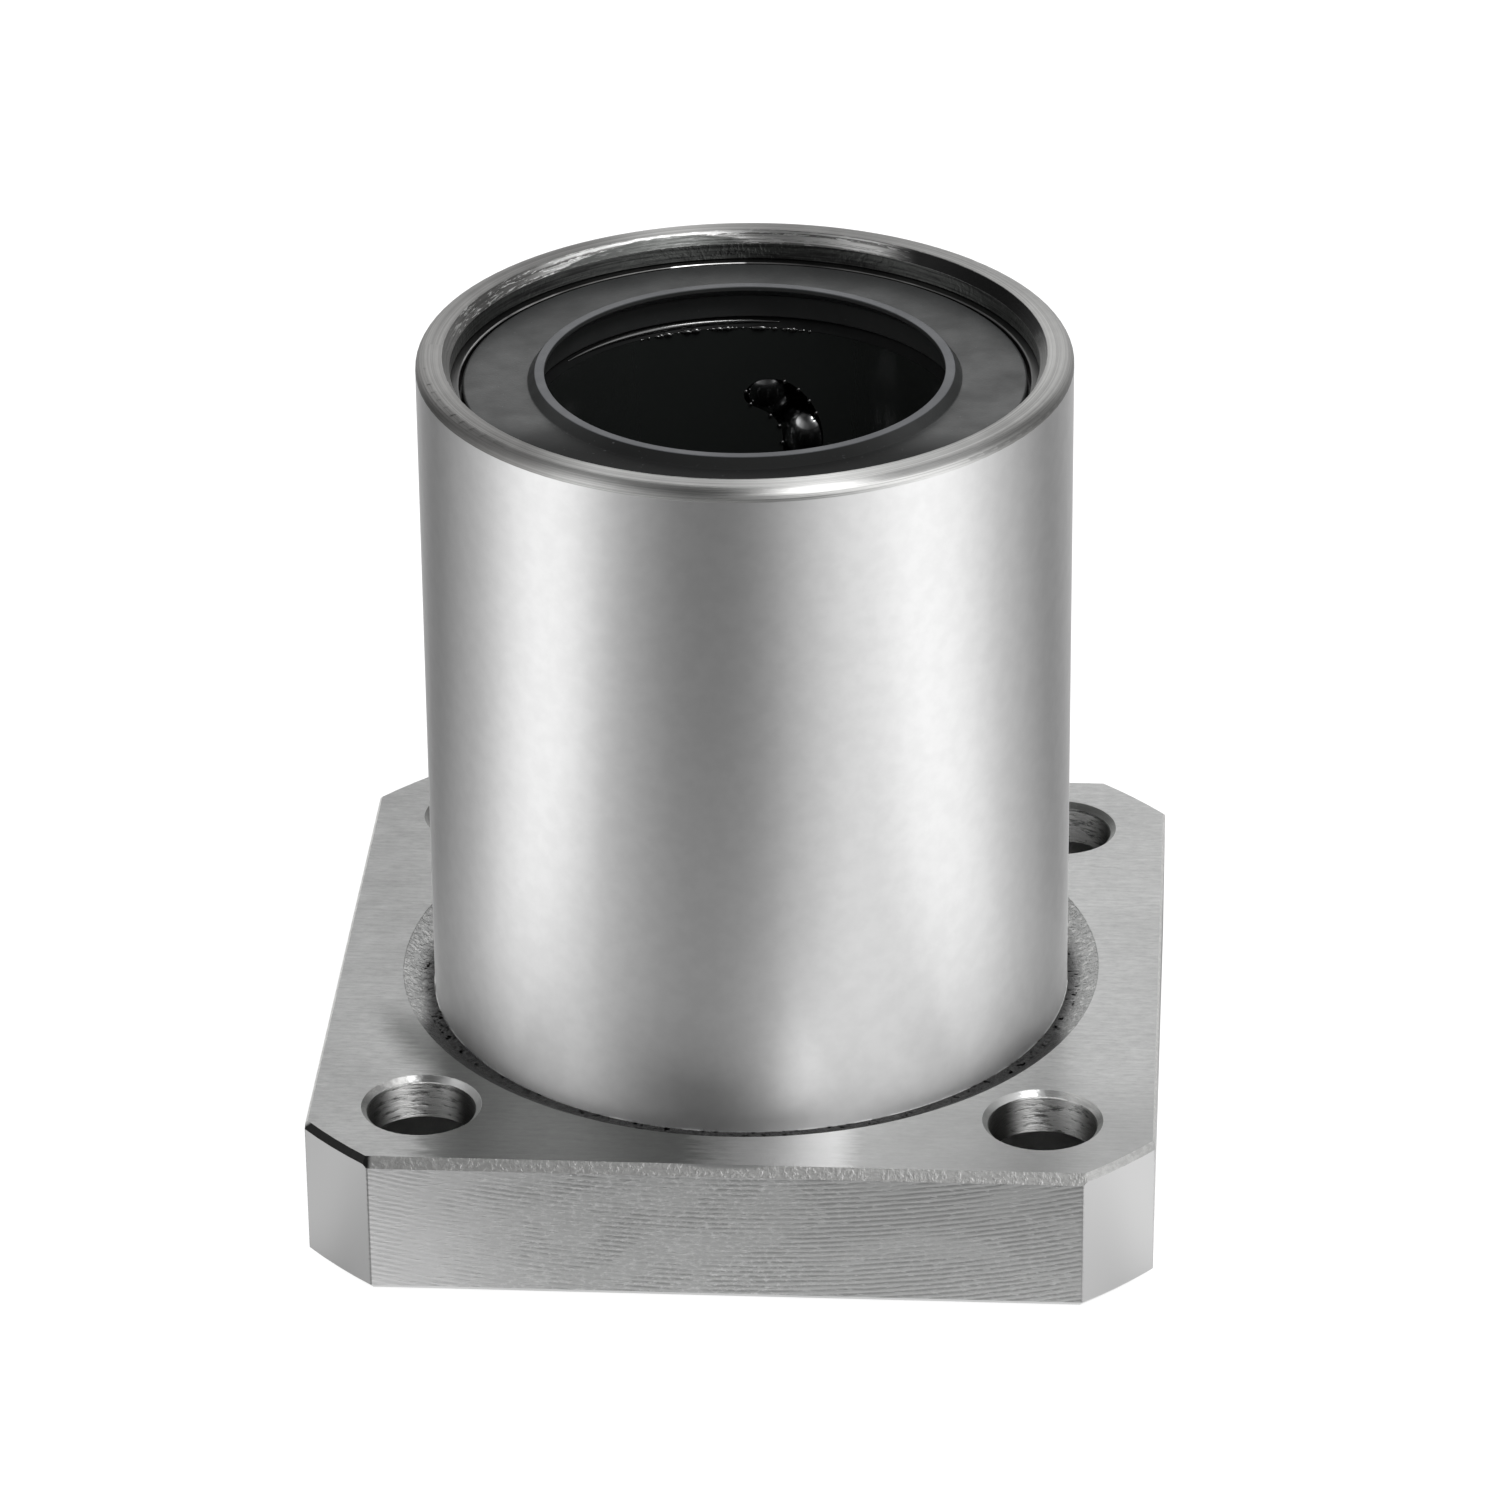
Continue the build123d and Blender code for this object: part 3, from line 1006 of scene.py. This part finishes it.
@dataclass(frozen=True)
class RingFinish:
    """Oiled dark spring steel, with painted glints on its rolled edge at the back, the left and the front,
    and a faint one all round.
    """

    flat: Colour = (0.075, 0.075, 0.074)
    # bright colour of the painted glints on the rolled edge
    rubbed: Colour = (0.95, 0.95, 0.94)

    def material(self) -> bpy.types.Material:
        """Mixes the spring steel.

        Returns:
            The material.
        """
        coat = Coat("ring_steel")
        edge = coat.nz.size().within(0.25, 0.93, 0.05)
        scale = coat.noise((coat.turn * 6.0, coat.r, coat.z), 1.0, 3.0)
        # painted glints on the rolled edge at the back, the left and the front, and faintly all round
        back = coat.x.within(-4.4, -1.0, 0.25) * coat.y.step(0.0, 4.0)
        left = coat.x.within(-14.6, -10.3, 0.6) * coat.y.step(0.0, 2.0) * 0.45
        front = coat.x.within(1.4, 3.4, 0.3) * coat.y.step(0.0, -4.0) * 0.7
        worn = (back + left + front) * 0.9 + 0.08
        tone = coat.mix(edge * scale.step(0.3, 0.6) * worn, self.flat, self.rubbed)
        coat.relief(coat.noise((coat.turn * 4.0, coat.r * 5.0, coat.z * 5.0), 1.0, 3.0) * 0.004)
        coat.set(base_color=tone, roughness=0.28 + scale * 0.15, metallic=1.0)
        return coat.material


@dataclass(frozen=True)
class GreaseFinish:
    """Clear glossy grease, dark where it takes up wear."""

    base: Colour = (0.005, 0.005, 0.005)
    cloudy: Colour = (0.012, 0.012, 0.012)
    worn: Colour = (0.009, 0.010, 0.010)
    index: float = 2.2
    thick_gloss: float = 0.08

    def material(self) -> bpy.types.Material:
        """Mixes the grease.

        Returns:
            The material.
        """
        coat = Coat("grease")
        cloud = coat.noise(coat.place, 2.0, 2.0)
        tone = coat.mix(cloud, self.base, self.cloudy)
        coat.set(base_color=tone, roughness=cloud * 0.08 + 0.20, metallic=0.0)
        coat.keep(ior=self.index)
        return coat.material

    def dull(self) -> bpy.types.Material:
        """The same grease where it lies thick and takes up light, kept dull and dark on the cage's bevel as
        painted shade.

        Returns:
            The material.
        """
        coat = Coat("thick_grease_shade")
        cloud = coat.noise(coat.place, 1.5, 2.0)
        coat.set(base_color=coat.mix(cloud, self.base, self.worn), roughness=0.5, metallic=0.0)
        coat.keep(gloss=self.thick_gloss)
        return coat.material


def dress(piece: bpy.types.Object, material: bpy.types.Material) -> None:
    """Puts one material in every slot of a piece.

    Args:
        piece: new piece or CAD node.
        material: its finish.
    """
    if not piece.material_slots:
        piece.data.materials.append(material)
    for place in piece.material_slots:
        place.material = material


@dataclass
class OuterCylinder:
    """The steel sleeve and flange, turned and ground from one piece."""

    sizes: Sizes
    node: str = "flanged_outer_cylinder"

    def build(self) -> None:
        """Dresses the CAD node, whose shape is right."""
        dress(frame["nodes"][self.node], SteelFinish(self.sizes).material())


@dataclass
class BallCage:
    """The moulded resin retainer inside the sleeve."""

    node: str = "ball_retainer"

    def build(self) -> None:
        """Dresses the CAD node, whose channels and slots are right."""
        dress(frame["nodes"][self.node], ResinFinish().material())


@dataclass
class WiperSeal:
    """A moulded rubber wiper: skirt under the ring, flat face, and a raised lip that is open at rest."""

    end: End
    sizes: Sizes
    lip_inner: float = 9.75
    lip_outer: float = 10.22
    lip_foot: float = 10.58
    lip_height: float = 0.5
    lip_land: float = 0.22
    throat: float = 10.5
    face_radius: float = 13.75
    skirt_radius: float = 14.2
    skirt_thickness: float = 0.75
    edge: float = 0.12
    fine: float = 0.06

    def outline(self) -> np.ndarray:
        """Section of the upper seal, from the skirt's inner foot anticlockwise.

        Returns:
            Outline points (radius, height).
        """
        face = self.sizes.length - self.sizes.face_recess
        skirt_top = face - self.sizes.ring_thickness
        foot = skirt_top - self.skirt_thickness
        lip_top = face + self.lip_height
        return rounded_outline([
            (self.throat, foot, self.fine),
            (self.skirt_radius, foot, self.fine),
            (self.skirt_radius, skirt_top, self.fine),
            (self.face_radius, skirt_top, self.fine),
            (self.face_radius, face, self.edge),
            (self.lip_foot, face, 0.10),
            (self.lip_outer, lip_top, 0.07),
            (self.lip_inner, lip_top, 0.05),
            (self.lip_inner, lip_top - self.lip_land, 0.05),
            (self.throat, face - 0.30, 0.10),
        ])

    def build(self, material: bpy.types.Material) -> bpy.types.Object:
        """Turns the section and puts it in place of the CAD seal.

        Args:
            material: the rubber.

        Returns:
            The piece.
        """
        points, faces = turned(self.end.facing(self.outline(), self.sizes.length))
        piece = add_piece(f"wiper_seal_{self.end.word}", points, faces, ROOT, "seal_rubber")
        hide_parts(f"{self.end.word}_seal")
        dress(piece, material)
        return piece


@dataclass
class RetainingRing:
    """A spring ring of rolled strip, open at the front, in the groove over the seal."""

    end: End
    sizes: Sizes
    outer: float = 14.9
    inner: float = 13.9
    opening: float = 3.0
    edge: float = 0.09

    def build(self, material: bpy.types.Material) -> bpy.types.Object:
        """Sweeps the rounded strip round the bore, with its ends each side of the front.

        Args:
            material: the spring steel.

        Returns:
            The piece.
        """
        top = self.sizes.length - self.sizes.face_recess
        base = top - self.sizes.ring_thickness
        outline = rounded_outline([
            (self.inner, base, self.edge),
            (self.outer, base, self.edge),
            (self.outer, top, self.edge),
            (self.inner, top, self.edge),
        ])
        half = math.asin(self.opening / 2 / self.outer)
        section = self.end.facing(outline, self.sizes.length)
        points, faces = turned(section, -math.pi / 2 + half, 2 * math.pi - 2 * half, 340)
        piece = add_piece(f"spring_ring_{self.end.word}", points, faces, ROOT, "ring_steel")
        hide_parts(f"{self.end.word}_retaining_ring")
        dress(piece, material)
        return piece


@dataclass
class BallCircuit:
    """One closed circuit of balls, as the four groups that the joints carry."""

    number: int
    ball_radius: float = 1.5875
    pitch: float = 3.2
    row_count: int = 7

    def centres(self) -> dict[str, np.ndarray]:
        """Ball centres of each group, worked out from the turn joints.

        The circuit lies in the plane through both turn axes' feet. Its load row stands one turn
        radius to one side of them and its return row one turn radius to the other.

        Returns:
            Centres in millimetres by group.
        """
        joints = {joint["name"]: joint for joint in frame["record"]["behaviour"]["joints"]}
        upper = joints[f"circuit_{self.number}_upper_turn"]
        lower = joints[f"circuit_{self.number}_lower_turn"]
        outward = np.array(upper["axis"], dtype=float)
        along = np.array([outward[1], -outward[0], 0.0])
        up = np.array([0.0, 0.0, 1.0])
        top = np.array(upper["pos_m"]) / MM
        bottom = np.array(lower["pos_m"]) / MM
        load_low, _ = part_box(f"circuit_{self.number}_load_balls")
        load_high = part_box(f"circuit_{self.number}_load_balls")[1]
        middle = (np.array(load_low) + np.array(load_high)) / 2 / MM
        radius = float((middle - top) @ along)
        step = np.arange(self.row_count)[:, None] * self.pitch
        return {
            "load_balls": top + along * radius - up * step,
            "return_balls": bottom - along * radius + up * step,
            "upper_turn_balls": np.stack([top - along * radius, top + up * radius]),
            "lower_turn_balls": np.stack([bottom + along * radius, bottom - up * radius]),
        }

    def build(self, material: bpy.types.Material) -> list[bpy.types.Object]:
        """Puts smooth balls in place of the CAD groups, each on its own body.

        Args:
            material: the polished steel.

        Returns:
            The four pieces.
        """
        made = []
        for group, centres in self.centres().items():
            node = f"circuit_{self.number}_{group}"
            points, faces = at_each(centres, ball_mesh(self.ball_radius))
            piece = add_piece(f"polished_{node}", points, faces, node, "ball_steel")
            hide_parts(node)
            dress(piece, material)
            made.append(piece)
        return made


@dataclass
class CageGrease:
    """Grease on the cage: a dull dark layer on its bevel as painted shade, a film under the seal, and beads
    along the edges.
    """

    sizes: Sizes
    film_start: float = math.radians(84)
    film_sweep: float = math.radians(66)
    film_thickness: float = 0.17
    film_outward: float = 0.20
    film_depth: float = 0.27
    film_steps: int = 120
    film_sides: int = 12
    bead_start: float = math.radians(76)
    bead_sweep: float = math.radians(50)
    bead_count: int = 30
    bead_size: float = 0.13
    drop_size: float = 0.11
    seed: int = 11
    slot_drops: tuple[tuple[float, float], ...] = (
        (82.9, 34.86), (78.9, 34.48), (75.8, 33.92), (73.8, 33.3), (93.7, 34.25),
        (92.4, 33.56), (86.9, 32.95), (84.4, 32.4), (83.6, 31.5))

    def film(self) -> Mesh:
        """Tube along an arc whose radius swells and thins as the square root of a sine over its length.

        Returns:
            Vertices and faces, closed by a point at each end. The faces point into the tube.
        """
        share = np.linspace(0.0, 1.0, self.film_steps + 2)[1:-1]
        angle = self.film_start + self.film_sweep * share
        thick = self.film_thickness * np.sqrt(np.sin(np.pi * share))
        around = 2 * np.pi * np.arange(self.film_sides) / self.film_sides
        radius = self.sizes.cage_radius + self.film_outward
        height = self.sizes.cage_top - self.film_depth
        across = radius + thick[:, None] * np.cos(around)
        rings = np.stack([
            across * np.cos(angle)[:, None],
            across * np.sin(angle)[:, None],
            height + thick[:, None] * np.sin(around),
        ], axis=-1)
        ends = self.film_start + self.film_sweep * np.array([0.0, 1.0])
        tips = np.stack([radius * np.cos(ends), radius * np.sin(ends), np.full(2, height)], axis=-1)
        points, quads, triangles = closed_by_tips(rings, tips)
        faces = quads[:, [0, 3, 2, 1]].tolist() + triangles[:, [0, 2, 1]].tolist()
        return points, [tuple(face) for face in faces]

    def layer(self) -> Mesh:
        """Thin ring of thick grease that lies on the cage's bevel as painted shade, turned from its section.
        """
        inner = self.sizes.cage_radius
        low = self.sizes.cage_top - self.sizes.cage_bevel
        fine, thin, wide = 0.012, 0.02, 0.42
        return turned(rounded_outline([
            (inner + thin, low - thin, fine),
            (inner + thin + wide, low - thin + wide, fine),
            (inner - thin + wide, low + thin + wide, fine),
            (inner - thin, low + thin, fine),
        ], 3), count=240)

    def beads(self) -> Mesh:
        """Small flattened drops at uneven steps along the bevel's lower edge and at the slot's edges."""
        draw = np.random.default_rng(self.seed)
        share = (np.arange(self.bead_count) + draw.uniform(-0.4, 0.4, self.bead_count)) / self.bead_count
        angle = self.bead_start + self.bead_sweep * share
        height = np.full(self.bead_count, self.sizes.cage_top - self.sizes.cage_bevel)
        size = self.bead_size * draw.uniform(0.25, 1.2, self.bead_count)
        length = draw.uniform(1.2, 3.2, self.bead_count)
        drops = np.array(self.slot_drops)
        angle = np.concatenate([angle, np.radians(drops[:, 0])])
        height = np.concatenate([height, drops[:, 1]])
        size = np.concatenate([size, np.full(len(drops), self.drop_size)])
        radius = self.sizes.cage_radius
        centres = np.stack([radius * np.cos(angle), radius * np.sin(angle), height], axis=-1)
        long = np.concatenate([length, np.ones(len(drops))])
        stretch = np.stack([size * long, size * 0.9, size], axis=-1)
        return at_each(centres, ball_mesh(1.0, 8, 14), stretch)

    def build(self, finish: GreaseFinish) -> list[bpy.types.Object]:
        """Lays the grease on the cage.

        Args:
            finish: the grease.

        Returns:
            The three pieces.
        """
        glossy, dull = finish.material(), finish.dull()
        made = []
        for name, shape, material in (
                # the dull layer keeps the cage's bevel dark: painted shade
                ("grease_shade_layer", self.layer(), dull),
                ("grease_film", self.film(), glossy),
                ("grease_beads", self.beads(), glossy)):
            piece = add_piece(name, *shape, ROOT, "retainer_resin")
            dress(piece, material)
            made.append(piece)
        return made


@dataclass
class Studio:
    """Camera, pale floor, surround and lamps."""

    heading: float = math.radians(3.926)
    elevation: float = math.radians(27.334)
    roll: float = math.radians(-0.595)
    distance: float = 0.36968
    aim_height: float = 0.0223
    aside: float = -0.0000875
    above: float = 0.0026276
    focal: float = 178.51
    band_strength: float = 1.41
    back_panel: float = 0.62
    ceiling_share: float = 0.06
    fill_low: float = 0.30
    fill_high: float = 0.75
    pool_level: float = 0.85
    floor_glow: float = 1.22
    floor_grey: float = 0.85
    floor_share: float = 0.72
    footprint: float = 0.0200
    footprint_corner: float = 0.0262
    footprint_soft: float = 0.0004
    key_direction: tuple[float, float, float] = (0.29, -0.38, 0.88)
    key_distance: float = 0.62
    key_size: float = 0.19
    key_radiance: float = 16.0
    bands: tuple[tuple[float, float], ...] = (
        (-180, 0.58), (-158, 0.34), (-130, 0.08), (-105, 0.34), (-73, 1.0), (-62, 1.0),
        (-42, 0.34), (-20, 0.10), (8, 0.03), (22, 0.05), (38, 0.50), (55, 1.0),
        (70, 0.98), (97, 0.44), (121, 0.16), (150, 0.30), (180, 0.58))

    def turned(self, x: float, y: float, z: float) -> Vector:
        """A direction given as seen from the camera's side, in the part's frame."""
        c, s = math.cos(self.heading), math.sin(self.heading)
        return Vector((c * x - s * y, s * x + c * y, z))

    def place_camera(self) -> None:
        """Sets the camera as it was fitted to the photograph."""
        ahead = self.turned(0, math.cos(self.elevation), -math.sin(self.elevation))
        level = self.turned(1, 0, 0)
        rise = level.cross(ahead)
        right = level * math.cos(self.roll) + rise * math.sin(self.roll)
        up = rise * math.cos(self.roll) - level * math.sin(self.roll)
        place = Vector((0, 0, self.aim_height)) - ahead * self.distance - right * self.aside - up * self.above
        data = bpy.data.cameras.new("photo_camera")
        data.lens = self.focal
        data.sensor_width = 36.0
        data.clip_start = 0.01
        data.clip_end = 50.0
        camera = bpy.data.objects.new("photo_camera", data)
        bpy.context.scene.collection.objects.link(camera)
        camera.matrix_world = Matrix((right, up, -ahead)).transposed().to_4x4()
        camera.location = place
        bpy.context.scene.camera = camera

    def surround(self, tree: bpy.types.NodeTree, x: Field, y: Field) -> Field:
        """Soft light and dark panels round the set, as a colour by direction seen from above.

        Args:
            tree: node tree to add to.
            x: field of the direction's x.
            y: field of the direction's y.

        Returns:
            The panels' grey level, 1 at the brightest.
        """
        c, s = math.cos(self.heading), math.sin(self.heading)
        side = x * c + y * s
        near = x * s - y * c
        share = side.math(Op.ARCTANGENT, near) * (0.5 / math.pi) + 0.5
        node = tree.nodes.new("ShaderNodeValToRGB")
        ramp = node.color_ramp
        ramp.interpolation = "EASE"
        while len(ramp.elements) < len(self.bands):
            ramp.elements.new(0.5)
        for element, (angle, _) in zip(ramp.elements, self.bands):
            element.position = (angle + 180) / 360
        for element, (_, level) in zip(ramp.elements, self.bands):
            element.color = (level, level, level, 1)
        feed(tree, node.inputs["Fac"], share)
        return Field(tree, node.outputs["Color"])

    def light_world(self) -> None:
        """White to the camera, panels of light to the steel, and a soft sky to matt surfaces."""
        world = bpy.data.worlds.new("studio")
        world.use_nodes = True
        bpy.context.scene.world = world
        tree = world.node_tree
        tree.nodes.clear()
        x, y, z = coordinates(tree, "Generated")
        dark_ceiling = z.step(0.62, 0.86) * (self.ceiling_share - 1.0) + 1.0
        far = y * math.cos(self.heading) - x * math.sin(self.heading)
        back = far.step(0.55, 0.85) * z.within(0.25, 0.62, 0.15) * self.back_panel
        panels = self.surround(tree, x, y) * dark_ceiling * self.band_strength + back
        sky = z.math(Op.MAXIMUM, 0.0) * self.fill_high + self.fill_low
        camera, seen = self.ray_kinds(tree)
        level = panels * seen + sky * (1.0 - seen)
        background = tree.nodes.new("ShaderNodeBackground")
        feed(tree, background.inputs["Strength"], level * (1.0 - camera) + camera)
        output = tree.nodes.new("ShaderNodeOutputWorld")
        tree.links.new(background.outputs[0], output.inputs[0])
        background.inputs["Color"].default_value = (1, 1, 1, 1)
        world.cycles.sampling_method = "NONE"

    @staticmethod
    def ray_kinds(tree: bpy.types.NodeTree) -> tuple[Field, Field]:
        """Marks of camera rays, and of rays seen in steel or through a clear film."""
        path = tree.nodes.new("ShaderNodeLightPath")
        camera, glossy, through = (Field(tree, path.outputs[name]) for name in
                                   ("Is Camera Ray", "Is Glossy Ray", "Is Transmission Ray"))
        return camera, glossy.math(Op.MAXIMUM, through)

    def lay_floor(self) -> None:
        """Pale floor with a soft shadow, which mirrors the panels into the steel, with a painted shadow under
        the part.
        """
        mesh = bpy.data.meshes.new("studio_floor")
        reach, drop = 2.5, -0.00002
        corners = [(-reach, -reach, drop), (reach, -reach, drop), (reach, reach, drop), (-reach, reach, drop)]
        mesh.from_pydata(corners, [], [(0, 1, 2, 3)])
        floor = bpy.data.objects.new("studio_floor", mesh)
        bpy.context.scene.collection.objects.link(floor)
        material = bpy.data.materials.new("pale_floor")
        material.use_nodes = True
        material.cycles.emission_sampling = "NONE"
        tree = material.node_tree
        tree.nodes.clear()
        x, y, _ = coordinates(tree, "Object")
        away = (x * x + y * y).root()
        soft = self.footprint_soft
        # painted shadow: the floor under the part loses its glow
        square = x.size().math(Op.MAXIMUM, y.size()).step(self.footprint + soft, self.footprint - soft)
        part_shadow = square * away.step(self.footprint_corner + soft, self.footprint_corner - soft)
        pool = away.step(0.046, 0.034) * y.step(-0.018, -0.021)
        panels = self.surround(tree, x, y) * self.band_strength
        mirrored = panels * (1.0 - pool) + pool * self.pool_level
        camera, seen = self.ray_kinds(tree)
        glow = mirrored * seen * (1.0 - camera) + camera * self.floor_glow
        diffuse = tree.nodes.new("ShaderNodeBsdfDiffuse")
        diffuse.inputs["Color"].default_value = (self.floor_grey, self.floor_grey, self.floor_grey, 1)
        emission = tree.nodes.new("ShaderNodeEmission")
        feed(tree, emission.inputs["Strength"], glow * (1.0 - part_shadow))
        mix = tree.nodes.new("ShaderNodeMixShader")
        feed(tree, mix.inputs["Fac"], seen.math(Op.MAXIMUM, camera * self.floor_share))
        tree.links.new(diffuse.outputs[0], mix.inputs[1])
        tree.links.new(emission.outputs[0], mix.inputs[2])
        output = tree.nodes.new("ShaderNodeOutputMaterial")
        tree.links.new(mix.outputs[0], output.inputs["Surface"])
        mesh.materials.append(material)

    def lamp(self, name: str, direction: Vector, away: float, size: float, radiance: float) -> None:
        """A square soft lamp that faces the bearing.

        Args:
            name: name of the lamp.
            direction: from the bearing to the lamp.
            away: distance in metres.
            size: side in metres.
            radiance: brightness of its face, where a white wall is 1.
        """
        data = bpy.data.lights.new(name, "AREA")
        data.size = size
        data.energy = radiance * math.pi * size * size
        lamp = bpy.data.objects.new(name, data)
        bpy.context.scene.collection.objects.link(lamp)
        place = direction.normalized() * away
        lamp.matrix_world = place.to_track_quat("Z", "Y").to_matrix().to_4x4()
        lamp.location = place + Vector((0, 0, self.aim_height))

    def build(self) -> None:
        """Sets the whole studio."""
        self.place_camera()
        self.light_world()
        self.lay_floor()
        direction = self.turned(*self.key_direction)
        self.lamp("key_softbox", direction, self.key_distance, self.key_size, self.key_radiance)
        bpy.context.scene.view_settings.view_transform = "Standard"


def main() -> None:
    """Builds the studio and the bearing, from the outside in."""
    logging.basicConfig(level=logging.INFO, format="%(message)s")
    sizes = Sizes.from_frame()
    Studio().build()
    OuterCylinder(sizes).build()
    BallCage().build()
    rubber = RubberFinish().material()
    spring = RingFinish().material()
    polish = BallFinish().material()
    for end in End:
        log.info("built %s", WiperSeal(end, sizes).build(rubber).name)
        log.info("built %s", RetainingRing(end, sizes).build(spring).name)
    for number in range(1, CIRCUITS + 1):
        for piece in BallCircuit(number).build(polish):
            log.info("built %s", piece.name)
    for piece in CageGrease(sizes).build(GreaseFinish()):
        log.info("built %s", piece.name)


if __name__ == "__main__":
    main()
